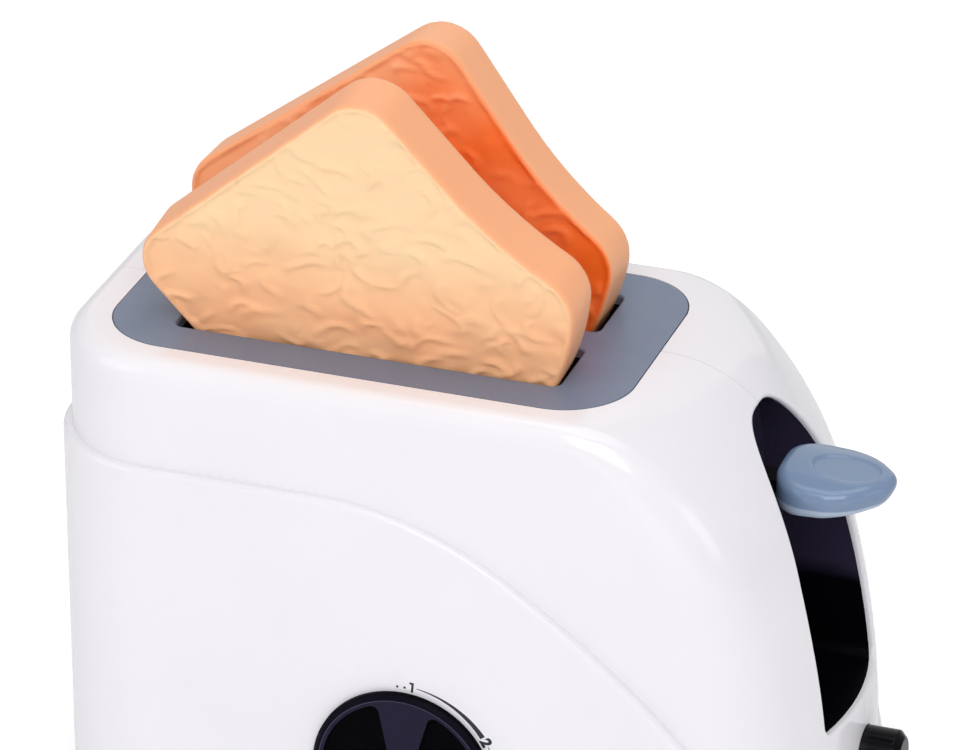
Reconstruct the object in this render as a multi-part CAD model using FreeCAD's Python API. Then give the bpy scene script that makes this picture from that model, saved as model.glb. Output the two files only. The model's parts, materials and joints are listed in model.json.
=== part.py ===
import FreeCAD, Part
import math
import os

# Toy pop-up toaster with two slices of toast.
# Millimetres. X runs along the toaster towards the lever, -Y is the dial side, Z is up.
# The origin is the centre of the base on the floor.

V = FreeCAD.Vector

# ---- Housing: two moulded half shells -------------------------------------------------
BODY_LENGTH = 189.0
BODY_WIDTH = 90.0
BODY_HEIGHT = 128.0
WALL = 1.7
END_RADIUS = 26.0            # upright corners of the plain end, seen from above
TOP_RADIUS = 5.0             # rounding of the top edge
NOSE_PLAN_RADIUS = 75.0      # bow of the lever end, seen from above
NOSE_ARCS = ((31.3, 45.0), (75.7, 73.1), (218.7, 90.0))   # side profile: radius, end angle
NOSE_EDGE_RADIUS = 21.0      # rounding between nose and sides, low down
NOSE_EDGE_FADE = 50.0        # height over which that rounding grows from TOP_RADIUS
PARTING_GAP = 0.16           # line between the half shells

# ---- Skirt: the lower band that stands proud of the housing ---------------------------
SKIRT_STEP = 2.2
SKIRT_WALL = 2.4
SKIRT_HEIGHT = 101.3         # height of the straight ledge
SKIRT_ROUND = 1.2            # rounding of the ledge's outer edge
LEDGE_TURN = 120.3           # from the tip back to where the ledge starts to fall
LEDGE_ARCS = ((82.0, 31.0), (227.0, 68.0))

# ---- Top insert with the two bread slots ----------------------------------------------
INSERT_FROM_END = 10.25      # from the plain end of the housing
INSERT_FROM_TIP = 52.25
INSERT_FROM_SIDE = 9.3
INSERT_RADIUS = 16.8
INSERT_THICKNESS = 2.6
INSERT_GAP = 0.3
LEDGE_WIDTH = 3.0            # ring under the insert
LEDGE_THICKNESS = 2.2
SLOT_FROM_INSERT_END = 16.35
SLOT_WIDTH = 20.0
SLOT_SPACING = 29.0          # between the middles of the two slots
SLOT_RADIUS = 2.0
SLOT_LIP = 0.7               # rounding of the slot edges

# ---- Bread cage -----------------------------------------------------------------------
CAGE_WALL = 1.6
CAGE_BOTTOM = 30.0
CAGE_WEBS = 3
SLIT_WIDTH = 7.0
SHELF_TOP = 102.0            # brackets that hold the upper ends of the guide rods
SHELF_THICKNESS = 4.0
EAR_WIDTH = 9.0

# ---- Toast ----------------------------------------------------------------------------
TOAST_THICKNESS = 15.0
TOAST_EDGE = 1.5
TOAST_TO_SLOT = 3.6          # the slot is that much longer than a slice is wide
TOAST_SHAPE = {              # in halves of its width
    "bottom": 0.891, "corner": 0.229, "waist": 0.686, "lobe": 0.250, "lobe_height": 1.428, "crown": 1.350}
FRONT_TILT = 40.9
REAR_TILT = 36.05
FRONT_LEAN = 6.2             # towards the dial side
REAR_LEAN = 3.0              # towards the back
FRONT_TOAST_GAP = 2.5        # this slice is wedged in its slot, a little above its tray
REAR_TOAST_GAP = 0.3
TOAST_END_GAP = 0.25
TOAST_SIDE_GAP = 0.2

# ---- Bread carriage, guide rods and return springs ------------------------------------
TRAY_TOP = 87.2
TRAY_TO_SLOT_END = 1.9
TRAY_TO_SLOT_SIDE = 1.5
TRAY_THICKNESS = 2.5
TRAVEL = 50.0
ROD_RADIUS = 2.0
ROD_TO_CAGE = 8.6            # rod axis to the outside of the cage, at either end
SLIDER_RADIUS = 5.0
SLIDER_LENGTH = 16.0
SLIDE_FIT = 0.05
SPRING_RADIUS = 3.4
SPRING_WIRE = 0.5
SPRING_TURNS = 8
ARM_THICKNESS = 6.0
ARM_DROP = 1.0               # of the arm below the trays
SEAT_GAP = 0.3
BAY_SEAT_GAP = 0.1           # between the lever bay and the inside of the nose

# ---- Lever bay and lever --------------------------------------------------------------
BAY_HALF_WIDTH = 20.3        # opening in the nose
BAY_CENTRE = 56.4
BAY_RISE = 61.4
BAY_POWER = 2.82             # squareness of the opening's rounded top
BAY_BOTTOM = 45.5
BAY_CORNER = 3.0
BAY_DEPTH = 32.0             # back wall, measured from the tip of the nose
BAY_WALL = 1.6
BAY_RIM_ROUND = 0.8
LEVER_ROOT_DEPTH = 22.4      # root of the paddle, measured from the tip of the nose
LEVER_LENGTH = 27.6
LEVER_HALF_WIDTH = 12.7
LEVER_BOTTOM = 96.5
LEVER_EDGE_TOP = 104.0
LEVER_CROWN = 2.0
LEVER_TIP_LIFT = 1.7
LEVER_ROOT_ROUND = 9.5
LEVER_TOP_ROUND = 2.8
LEVER_UNDER_ROUND = 1.3
LEVER_SCREW_HEAD = 1.8
DISH_LENGTH = 16.2
DISH_WIDTH = 12.0
DISH_DEPTH = 0.8

# ---- Release button and latch ---------------------------------------------------------
BUTTON_HEIGHT = 31.7         # axis of the button
BUTTON_RADIUS = 6.2
BUTTON_REACH = 9.0
BUTTON_CHAMFER = 1.6
BUTTON_SKIRT = 5.5           # guided length of the head inside the shell
BUTTON_TRAVEL = 3.0
BUTTON_FIT = 0.15
STEM_RADIUS = 2.0
BUTTON_SPRING_TURNS = 6
LATCH_TO_BAY = 7.9           # latch pin to the bay's back plate
LATCH_PIN_HEIGHT = 22.0
LATCH_PIN_RADIUS = 1.25
LATCH_THICKNESS = 5.0
LATCH_BAR = 4.0
LATCH_OVER_BUTTON = 2.5
LATCH_WIRE = 0.3             # half the thickness of the latch spring's wire
LATCH_PITCH = 0.66           # of its coils
NOSE_UNDER = 10.3
CATCH_THICKNESS = 3.0
CATCH_GRIP = 2.2

# ---- Dial and its clicker -------------------------------------------------------------
DIAL_X = -3.84
DIAL_HEIGHT = 32.46
DIAL_RADIUS = 22.07
DIAL_THICKNESS = 2.0
DIAL_GAP = 0.2
POCKET_RADIUS = 19.6
POCKET_DEPTH = 1.2
SPOKE_HALF_WAIST = 1.9
SPOKE_FLARE = 13.7
SPOKE_TURN = 2.5
HUB_RADIUS = 4.2
SHAFT_RADIUS = 2.4
RATCHET_RADIUS = 12.0
RATCHET_TEETH = 20
TOOTH_DEPTH = 1.6
CLICKER_HALF = 15.0
CLICKER_STAND_OFF = 3.4      # from the inside of the skirt
CLICKER_WALL = 1.6
CLICKER_LID = 1.8
CLICKER_TO_CAGE = 1.5
CLICKER_EAR = 4.5            # screw axis to the side of the case
EAR_THICKNESS = 2.4
EAR_RADIUS = 4.2

# ---- Base plate and fasteners ---------------------------------------------------------
BASE_THICKNESS = 2.4
BASE_GAP = 0.3
SCREW_RADIUS = 1.2
SCREW_HEAD_RADIUS = 2.6
SCREW_HEAD = 1.6
SCREW_FIT = 0.03
BOSS_RADIUS = 3.6
CASE_SCREW_REACH = 8.0       # how far the case screws run to either side of the parting line

# ---- Derived places -------------------------------------------------------------------
LEFT = -BODY_LENGTH / 2
TIP = BODY_LENGTH / 2
HALF_WIDTH = BODY_WIDTH / 2
INSERT_LENGTH = BODY_LENGTH - INSERT_FROM_END - INSERT_FROM_TIP
INSERT_WIDTH = BODY_WIDTH - 2 * INSERT_FROM_SIDE
INSERT_X = LEFT + INSERT_FROM_END + INSERT_LENGTH / 2
INSERT_UNDER = BODY_HEIGHT - INSERT_THICKNESS
LEDGE_UNDER = INSERT_UNDER - LEDGE_THICKNESS
SLOT_LENGTH = INSERT_LENGTH - 2 * SLOT_FROM_INSERT_END
SLOT_LEFT = INSERT_X - SLOT_LENGTH / 2
SLOT_RIGHT = INSERT_X + SLOT_LENGTH / 2
SLOT_Y = SLOT_SPACING / 2
CAGE_LEFT = SLOT_LEFT - CAGE_WALL
CAGE_RIGHT = SLOT_RIGHT + CAGE_WALL
LEFT_ROD_X = CAGE_LEFT - ROD_TO_CAGE
RIGHT_ROD_X = CAGE_RIGHT + ROD_TO_CAGE + 2.0
TRAY_LENGTH = SLOT_LENGTH - 2 * TRAY_TO_SLOT_END
TRAY_WIDTH = SLOT_WIDTH - 2 * TRAY_TO_SLOT_SIDE
TRAY_UNDER = TRAY_TOP - TRAY_THICKNESS
SLIDER_TOP = TRAY_TOP + 6.0
SLIDER_UNDER = SLIDER_TOP - SLIDER_LENGTH
BAY_BACK = TIP - BAY_DEPTH
LEVER_ROOT = TIP - LEVER_ROOT_DEPTH
PLATE_BACK = BAY_BACK - BAY_WALL
LATCH_X = PLATE_BACK - LATCH_TO_BAY
CATCH_TOP = NOSE_UNDER - SEAT_GAP + TRAVEL
TAIL_RIGHT = LATCH_X - 6.0
SKIRT_INSIDE = HALF_WIDTH + SKIRT_STEP - SKIRT_WALL
DIAL_FACE = -(HALF_WIDTH + SKIRT_STEP + DIAL_GAP)
CLICKER_FRONT = CLICKER_STAND_OFF - SKIRT_INSIDE
CLICKER_BACK = -(SLOT_Y + SLOT_WIDTH / 2 + CAGE_WALL + CLICKER_TO_CAGE + CLICKER_LID)
SOCKET_TOP = BASE_THICKNESS + 7.0
ROD_BOTTOM = BASE_THICKNESS + 2.0
CUP_TOP = BASE_THICKNESS + 2.2


# ---- Small helpers --------------------------------------------------------------------
def box(x1, x2, y1, y2, z1, z2):
    return Part.makeBox(x2 - x1, y2 - y1, z2 - z1, V(x1, y1, z1))


def post(x, y, z1, z2, radius):
    return Part.makeCylinder(radius, z2 - z1, V(x, y, z1))


def cross_pin(x, z, y1, y2, radius):
    return Part.makeCylinder(radius, y2 - y1, V(x, y1, z), V(0, 1, 0))


def long_pin(y, z, x1, x2, radius):
    return Part.makeCylinder(radius, x2 - x1, V(x1, y, z), V(1, 0, 0))


def arc(a, m, b):
    return Part.Arc(a, m, b).toShape()


def rounded_plate(x, y, length, width, radius, z1, z2):
    """Upright prism over a rounded rectangle centred on (x, y)."""
    block = box(x - length / 2, x + length / 2, y - width / 2, y + width / 2, z1, z2)
    return block.makeFillet(radius, [e for e in block.Edges if is_upright(e)])


def is_upright(edge):
    a, b = edge.Vertexes[0].Point, edge.Vertexes[-1].Point
    return abs(a.x - b.x) < 1e-6 and abs(a.y - b.y) < 1e-6


def is_line(edge):
    return edge.Curve.TypeId == "Part::GeomLine"


def side_prism(points, y1, y2):
    """Prism along Y over a polygon given as (x, z) pairs."""
    loop = [V(x, y1, z) for x, z in points]
    return Part.Face(Part.makePolygon(loop + loop[:1])).extrude(V(0, y2 - y1, 0))


def joined(shapes):
    first, *rest = shapes
    return first.fuse(rest).removeSplitter() if rest else first


# ---- Housing form ---------------------------------------------------------------------
def nose_profile(offset):
    """Centres, radii and angles of the nose's side profile, grown by an offset."""
    reach = 0.0
    last = 0.0
    for radius, angle in NOSE_ARCS:
        reach += radius * (math.sin(math.radians(angle)) - math.sin(math.radians(last)))
        last = angle
    return chained_arcs(NOSE_ARCS, TIP - reach, BODY_HEIGHT, offset)


def chained_arcs(table, x, z, offset):
    """Tangent arcs that start level at (x, z) and turn downwards: lists of (start, mid, end)."""
    radius, last = table[0][0], 0.0
    cx, cz = x, z - radius
    chain = []
    for radius, angle in table:
        if chain:
            cx, cz = ex - radius * math.sin(math.radians(last)), ez - radius * math.cos(math.radians(last))
        ex = cx + radius * math.sin(math.radians(angle))
        ez = cz + radius * math.cos(math.radians(angle))
        grown = radius + offset
        chain.append([V(cx + grown * math.sin(math.radians(a)), 0, cz + grown * math.cos(math.radians(a)))
                      for a in (last, (last + angle) / 2, angle)])
        last = angle
    return chain


def translated_surface(first, second):
    """Exact surface first(u) + second(v) for two arcs, the second starting from its own middle."""
    a, b = first.toBSpline(), second.toBSpline()
    poles = [[p + q for q in b.getPoles()] for p in a.getPoles()]
    weights = [[w * v for v in b.getWeights()] for w in a.getWeights()]
    surface = Part.BSplineSurface()
    surface.buildFromPolesMultsKnots(poles, a.getMultiplicities(), b.getMultiplicities(), a.getKnots(),
                                     b.getKnots(), False, False, a.Degree, b.Degree, weights)
    return surface.toShape()


def nose_bow(y):
    """Set-back of the nose at a distance y from the middle."""
    return V(math.sqrt(NOSE_PLAN_RADIUS ** 2 - y * y) - NOSE_PLAN_RADIUS, y, 0)


def bowed_block(offset, floor):
    """Solid with the bowed nose at one end, wider and longer than the housing everywhere else."""
    reach = HALF_WIDTH * 4 / 3
    chain = nose_profile(offset)
    bow = Part.Arc(nose_bow(-reach), V(0, 0, 0), nose_bow(reach))
    faces = [translated_surface(Part.Arc(*three), bow) for three in chain]
    start, end = chain[0][0], chain[-1][-1]
    low = V(end.x, 0, floor)
    far = LEFT - BODY_WIDTH / 2

    def bow_at(point):
        return Part.Arc(*[point + nose_bow(y) for y in (-reach, 0, reach)]).toShape()

    faces.append(bow_at(end).extrude(low - end))
    for point in (start, low):
        back = [V(far, y, point.z) for y in (-reach, reach)]
        tips = [point + nose_bow(y) for y in (-reach, reach)]
        rim = [bow_at(point), Part.makeLine(tips[1], back[1]), Part.makeLine(back[1], back[0]),
               Part.makeLine(back[0], tips[0])]
        faces.append(Part.Face(Part.Wire(rim)))
    corners = [V(far, y, z) for y, z in ((-reach, floor), (reach, floor),
                                         (reach, start.z), (-reach, start.z))]
    faces.append(Part.Face(Part.makePolygon(corners + corners[:1])))
    for y in (-reach, reach):
        shift = nose_bow(y)
        loop = [end, low, V(far - shift.x, 0, floor), V(far - shift.x, 0, start.z), start]
        edges = [arc(*[p + shift for p in three]) for three in chain]
        edges += [Part.makeLine(p + shift, q + shift) for p, q in zip(loop, loop[1:])]
        faces.append(Part.Face(Part.Wire(edges)))
    shell = Part.makeShell(faces)
    shell.sewShape()
    return Part.Solid(shell)


def plan_prism(offset, floor):
    """Upright prism with the rounded plain end and open towards the nose."""
    half = HALF_WIDTH + offset
    radius = END_RADIUS + offset
    x1, x2 = LEFT - offset, TIP + BODY_WIDTH / 2
    k = radius * (1 - math.sqrt(0.5))
    p = [V(x2, -half, floor), V(x2, half, floor), V(x1 + radius, half, floor),
         V(x1, half - radius, floor), V(x1, radius - half, floor), V(x1 + radius, -half, floor)]
    edges = [Part.makeLine(p[0], p[1]), Part.makeLine(p[1], p[2]),
             arc(p[2], V(x1 + k, half - k, floor), p[3]), Part.makeLine(p[3], p[4]),
             arc(p[4], V(x1 + k, k - half, floor), p[5]), Part.makeLine(p[5], p[0])]
    return Part.Face(Part.Wire(edges)).extrude(V(0, 0, BODY_HEIGHT * 1.5))


def nose_edge_radius(z, offset):
    fade = max(0.0, min(1.0, (BODY_HEIGHT - z) / NOSE_EDGE_FADE))
    return TOP_RADIUS + offset + (NOSE_EDGE_RADIUS - TOP_RADIUS) * fade ** 0.8


def housing_form(offset, floor=0.0):
    """The housing's outside, grown or shrunk by an offset: one rounded side and its mirror image."""
    sharp = bowed_block(offset, floor).common(plan_prism(offset, floor))
    top = BODY_HEIGHT + offset
    half = HALF_WIDTH + offset
    rounds = []
    for number, edge in enumerate(sharp.Edges, 1):
        ends = [v.Point for v in edge.Vertexes]
        on_side = all(abs(abs(p.y) - half) < 0.1 for p in ends) and ends[0].y * ends[-1].y > 0
        at_top = all(abs(p.z - top) < 0.1 for p in ends)
        across = abs(ends[0].y - ends[-1].y) > half and min(p.x for p in ends) > 0
        if at_top and not across:
            rounds.append((number, TOP_RADIUS + offset, TOP_RADIUS + offset))
        elif on_side and not is_upright(edge) and max(p.x for p in ends) > 0 and not is_line(edge):
            first, last = edge.valueAt(edge.FirstParameter), edge.valueAt(edge.LastParameter)
            rounds.append((number, nose_edge_radius(first.z, offset), nose_edge_radius(last.z, offset)))
        elif on_side and is_upright(edge) and ends[0].x > 0:
            low = nose_edge_radius(0.0, offset)
            rounds.append((number, low, low))
    base = sheet.addObject("Part::Feature", "form")
    base.Shape = sharp
    rounded = sheet.addObject("Part::Fillet", "rounded_form")
    rounded.Base = base
    rounded.Edges = rounds
    sheet.recompute()
    far = 2 * BODY_LENGTH
    one_side = rounded.Shape.common(box(-far, far, 0, far, -far, far))
    return one_side.fuse(one_side.mirror(V(0, 0, 0), V(0, 1, 0))).removeSplitter().Solids[0]


def below_ledge(drop):
    """Prism across the housing, under the skirt's ledge lowered square to itself by drop."""
    chain = chained_arcs(LEDGE_ARCS, TIP - LEDGE_TURN, SKIRT_HEIGHT, -drop)
    far, deep, y = LEFT - BODY_WIDTH, -BODY_HEIGHT, -BODY_WIDTH
    corners = [chain[-1][-1], V(chain[-1][-1].x, 0, deep), V(far, 0, deep),
               V(far, 0, SKIRT_HEIGHT - drop), chain[0][0]]
    edges = [arc(*three) for three in chain]
    edges += [Part.makeLine(a, b) for a, b in zip(corners, corners[1:])]
    face = Part.Face(Part.Wire(edges))
    face.translate(V(0, y, 0))
    return face.extrude(V(0, 2 * BODY_WIDTH, 0))


def bay_outline(grow, x1, x2):
    """Prism along X with the outline of the lever opening, grown all round."""
    half = BAY_HALF_WIDTH + grow
    rise = BAY_RISE + grow
    bottom = BAY_BOTTOM - grow
    corner = BAY_CORNER + grow
    points = []
    for k in range(25):
        t = math.pi * k / 24
        c, s = math.cos(t), math.sin(t)
        points.append(V(x1, math.copysign(abs(c) ** (2 / BAY_POWER), c) * half,
                        BAY_CENTRE + s ** (2 / BAY_POWER) * rise))
    crown = Part.BSplineCurve()
    crown.interpolate(points, InitialTangent=V(0, 0, 1), FinalTangent=V(0, 0, -1))
    k = corner * (1 - math.sqrt(0.5))
    a, b = V(x1, -half, bottom + corner), V(x1, corner - half, bottom)
    c, d = V(x1, half - corner, bottom), V(x1, half, bottom + corner)
    edges = [crown.toShape(), Part.makeLine(points[-1], a),
             arc(a, V(x1, k - half, bottom + k), b), Part.makeLine(b, c),
             arc(c, V(x1, half - k, bottom + k), d), Part.makeLine(d, points[0])]
    return Part.Face(Part.Wire(edges)).extrude(V(x2 - x1, 0, 0))


def coil_spring(radius, wire, turns, length):
    """Coil spring along Z from the origin; radius is the coil's middle, wire is half its thickness."""
    helix = Part.makeHelix(length / turns, length, radius)
    corners = [V(radius + wire * math.cos(a), 0, wire * math.sin(a))
               for a in (math.pi * (k + 0.5) / 3 for k in range(6))]
    return Part.Wire(helix).makePipeShell([Part.makePolygon(corners + corners[:1])], True, True)


# ---- Fasteners ------------------------------------------------------------------------
def screw(head_at, direction, length):
    """Pan head screw; head_at is the centre of the head's seat, the shank runs along direction."""
    head = Part.makeCylinder(SCREW_HEAD_RADIUS, SCREW_HEAD, head_at, direction * -1)
    rim = [e for e in head.Edges if e.isClosed()
           and e.BoundBox.Center.distanceToPoint(head_at) > SCREW_HEAD / 2]
    head = head.makeChamfer(SCREW_HEAD * 0.4, rim)
    cross = Part.makeCylinder(SCREW_HEAD_RADIUS * 0.35, SCREW_HEAD * 0.5,
                              head_at - direction * SCREW_HEAD, direction)
    return head.fuse(Part.makeCylinder(SCREW_RADIUS, length, head_at, direction)).cut(cross)


CASE_SCREWS = ((LEFT + 34.5, 14.0), (RIGHT_ROD_X - 13.0, 14.0), (BAY_BACK + 5.5, 16.0),
               (RIGHT_ROD_X + 7.0, SHELF_TOP + 11.0))
BASE_SCREWS = ((LEFT + 32.5, HALF_WIDTH - 8.0), (TIP - 33.0, HALF_WIDTH - 10.0))


def case_boss(x, z, side):
    """Boss inside a half shell, with its root in the wall; side is -1 in front."""
    inside = SKIRT_INSIDE if z < SKIRT_HEIGHT - BOSS_RADIUS - WALL else HALF_WIDTH - WALL
    root = side * (inside + WALL / 3)
    seat = side * PARTING_GAP / 2
    return cross_pin(x, z, min(root, seat), max(root, seat), BOSS_RADIUS + (0.8 if side > 0 else 0.0))


def base_post(x, y):
    """Upright screw post with a rib to the side wall."""
    side = math.copysign(1, y)
    wall = side * (SKIRT_INSIDE + WALL / 3)
    rib = box(x - 1.0, x + 1.0, min(y, wall), max(y, wall), CUP_TOP, 20.0)
    return post(x, y, CUP_TOP, 22.0, BOSS_RADIUS).fuse(rib)


# ---- Housing parts --------------------------------------------------------------------
def insert_prism(grow, z1, z2):
    return rounded_plate(INSERT_X, 0, INSERT_LENGTH + 2 * grow, INSERT_WIDTH + 2 * grow,
                         INSERT_RADIUS + grow, z1, z2)


def bay_rims(shell):
    """Edges where the lever opening comes out through the nose."""
    nose = housing_form(0).Shells[0]
    room = FreeCAD.BoundBox(BAY_BACK, -BAY_HALF_WIDTH, BAY_BOTTOM, TIP, BAY_HALF_WIDTH, BODY_HEIGHT)
    room.enlarge(0.2)
    near = [e for e in shell.Edges if room.isInside(e.BoundBox)]
    middles = [Part.Vertex(e.valueAt((e.FirstParameter + e.LastParameter) / 2)) for e in near]
    return [e for e, middle in zip(near, middles) if middle.distToShape(nose)[0] < 1e-3]


def whole_shell():
    """Both half shells in one, before they are parted."""
    skirt = housing_form(SKIRT_STEP).common(below_ledge(0))
    ledge = [e for e in skirt.Edges
             if e.BoundBox.ZMin > SKIRT_HEIGHT - 0.1 and e.BoundBox.YLength < BODY_WIDTH]
    outside = housing_form(0).fuse(skirt.makeFillet(SKIRT_ROUND, ledge))
    inside = housing_form(-WALL, -1.0).fuse(
        housing_form(SKIRT_STEP - SKIRT_WALL, -1.0).common(below_ledge(WALL)))
    shell = outside.cut(inside)
    ring = insert_prism(WALL, LEDGE_UNDER, BODY_HEIGHT - WALL / 2)
    shell = shell.fuse(ring)
    shell = shell.cut(insert_prism(INSERT_GAP, INSERT_UNDER, BODY_HEIGHT + 1))
    shell = shell.cut(insert_prism(-LEDGE_WIDTH, LEDGE_UNDER - 1, BODY_HEIGHT))
    shell = shell.cut(bay_outline(0, BAY_BACK, TIP + 10))
    shell = shell.makeFillet(BAY_RIM_ROUND, bay_rims(shell))
    shell = shell.cut(long_pin(0, BUTTON_HEIGHT, TIP - 15, TIP + 10, BUTTON_RADIUS + BUTTON_FIT))
    return shell


def half_shell(shell, side):
    gap = PARTING_GAP / 2
    keep = box(LEFT - 10, TIP + 10, gap, BODY_WIDTH, -1, BODY_HEIGHT + 5)
    if side < 0:
        keep = box(LEFT - 10, TIP + 10, -BODY_WIDTH, -gap, -1, BODY_HEIGHT + 5)
    half = shell.common(keep)
    half = half.fuse([case_boss(x, z, side) for x, z in CASE_SCREWS]
                     + [base_post(x, side * y) for x, y in BASE_SCREWS])
    holes = [post(x, side * y, CUP_TOP - 1, CUP_TOP + 12, SCREW_RADIUS + SCREW_FIT) for x, y in BASE_SCREWS]
    for x, z in CASE_SCREWS:
        if side < 0:
            holes.append(cross_pin(x, z, -CASE_SCREW_REACH - 2, 1, SCREW_RADIUS + SCREW_FIT))
        else:
            holes.append(cross_pin(x, z, -1, BODY_WIDTH, SCREW_RADIUS + 0.3))
            holes.append(cross_pin(x, z, CASE_SCREW_REACH, BODY_WIDTH, SCREW_HEAD_RADIUS + 0.3))
    return half.cut(holes)


def front_shell(shell):
    half = half_shell(shell, -1)
    half = half.fuse([clicker_boss(side) for side in (-1, 1)])
    holes = [cross_pin(DIAL_X, DIAL_HEIGHT, -BODY_WIDTH, -SKIRT_INSIDE + 5, HUB_RADIUS + 0.3)]
    holes += [cross_pin(x, z, -SKIRT_INSIDE + 0.4, -SKIRT_INSIDE + 9, SCREW_RADIUS + SCREW_FIT)
              for x, z in clicker_screw_places()]
    return half.cut(holes)


def top_insert():
    plate = insert_prism(0, INSERT_UNDER, BODY_HEIGHT)
    for side in (-1, 1):
        slot = rounded_plate(INSERT_X, side * SLOT_Y, SLOT_LENGTH, SLOT_WIDTH, SLOT_RADIUS,
                             INSERT_UNDER - 1, BODY_HEIGHT + 1)
        plate = plate.cut(slot)
    rims = [e for e in plate.Edges if all(abs(v.Z - BODY_HEIGHT) < 1e-6 for v in e.Vertexes)
            and abs(e.BoundBox.Center.y) < INSERT_WIDTH / 2 - 1
            and abs(e.BoundBox.Center.x - INSERT_X) < INSERT_LENGTH / 2 - 4
            and e.BoundBox.YLength < INSERT_WIDTH / 2
            and abs(e.BoundBox.Center.y) < SLOT_Y + SLOT_WIDTH / 2 + 1]
    plate = plate.makeFillet(SLOT_LIP, rims)
    bosses = [post(x, y, LEDGE_UNDER, INSERT_UNDER + 0.5, BOSS_RADIUS - 0.6) for x, y in cage_screw_places()]
    holes = [post(x, y, LEDGE_UNDER - 1, BODY_HEIGHT - 0.9, SCREW_RADIUS + SCREW_FIT)
             for x, y in cage_screw_places()]
    return joined([plate] + bosses).cut(holes)


def cage_screw_places():
    reach = INSERT_LENGTH / 2 - LEDGE_WIDTH - BOSS_RADIUS
    return [(INSERT_X + sx * reach, sy * SLOT_Y) for sx in (-1, 1) for sy in (-1, 1)]


def base_plate():
    plate = housing_form(SKIRT_STEP - SKIRT_WALL - BASE_GAP, -1.0).common(
        box(LEFT - 10, TIP + 10, -BODY_WIDTH, BODY_WIDTH, 0, BASE_THICKNESS))
    adds = [post(x, 0, 0.5, SOCKET_TOP, 4.4) for x in (LEFT_ROD_X, RIGHT_ROD_X)]
    cuts = [post(x, 0, ROD_BOTTOM, SOCKET_TOP + 1, ROD_RADIUS + SLIDE_FIT)
            for x in (LEFT_ROD_X, RIGHT_ROD_X)]
    for x, y in BASE_SCREWS:
        for side in (-1, 1):
            adds.append(post(x, side * y, 0.5, CUP_TOP, BOSS_RADIUS + 1.4))
            cuts.append(post(x, side * y, -1, 2.2, SCREW_HEAD_RADIUS + 0.3))
            cuts.append(post(x, side * y, -1, CUP_TOP + 1, SCREW_RADIUS + 0.3))
    for x, y in bay_screw_places():
        adds.append(post(x, y, 0.5, CUP_TOP, BOSS_RADIUS))
        cuts.append(post(x, y, 1.0, CUP_TOP + 1, SCREW_RADIUS + SCREW_FIT))
    for side in (-1, 1):
        near = side * (LATCH_THICKNESS / 2 + 0.4)
        far = near + side * 2.2
        cheek = side_prism([(LATCH_X - 4, 0.5), (LATCH_X + 4, 0.5), (LATCH_X + 3, LATCH_PIN_HEIGHT + 3.5),
                            (LATCH_X - 3, LATCH_PIN_HEIGHT + 3.5)], min(near, far), max(near, far))
        adds.append(cheek)
    cuts.append(cross_pin(LATCH_X, LATCH_PIN_HEIGHT, -8, 8, LATCH_PIN_RADIUS + SLIDE_FIT))
    for y in (-26.0, 26.0):
        adds.append(box(LEFT + 30, LATCH_X, y - 0.8, y + 0.8, 0.5, BASE_THICKNESS + 4))
    return joined([plate] + adds).cut(cuts)


# ---- Lever bay ------------------------------------------------------------------------
def bay_screw_places():
    return [(PLATE_BACK - 5.0, -15.0), (PLATE_BACK - 5.0, 15.0)]


def lever_bay(shell_inside):
    tube = bay_outline(BAY_WALL, PLATE_BACK, TIP + 10).common(shell_inside)
    tube = tube.cut(bay_outline(0, BAY_BACK, TIP + 11))
    half = BAY_HALF_WIDTH
    plate = box(PLATE_BACK, BAY_BACK, -half, half, CUP_TOP, BAY_BOTTOM + 2)
    foot = box(PLATE_BACK - 9, BAY_BACK, -half, half, CUP_TOP, CUP_TOP + 2.4)
    foot = foot.cut(box(PLATE_BACK - 10, PLATE_BACK - 0.1, -9, 9, 0, CUP_TOP + 3))
    ribs = [box(PLATE_BACK - 7, PLATE_BACK + 0.5, y - 0.8, y + 0.8, CUP_TOP, CUP_TOP + 12)
            for y in (-10.0, 10.0)]
    bay = joined([tube, plate, foot] + ribs)
    slit_low = LEVER_BOTTOM - TRAVEL - 7.0
    bay = bay.cut([box(PLATE_BACK - 1, BAY_BACK + 1, -ARM_THICKNESS / 2 - 1, ARM_THICKNESS / 2 + 1,
                       slit_low, LEVER_EDGE_TOP + 1.5),
                   long_pin(0, BUTTON_HEIGHT, PLATE_BACK - 1, BAY_BACK + 1, STEM_RADIUS + SLIDE_FIT)]
                  + [post(x, y, CUP_TOP - 1, CUP_TOP + 4, SCREW_RADIUS + 0.3)
                     for x, y in bay_screw_places()])
    return bay


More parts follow.
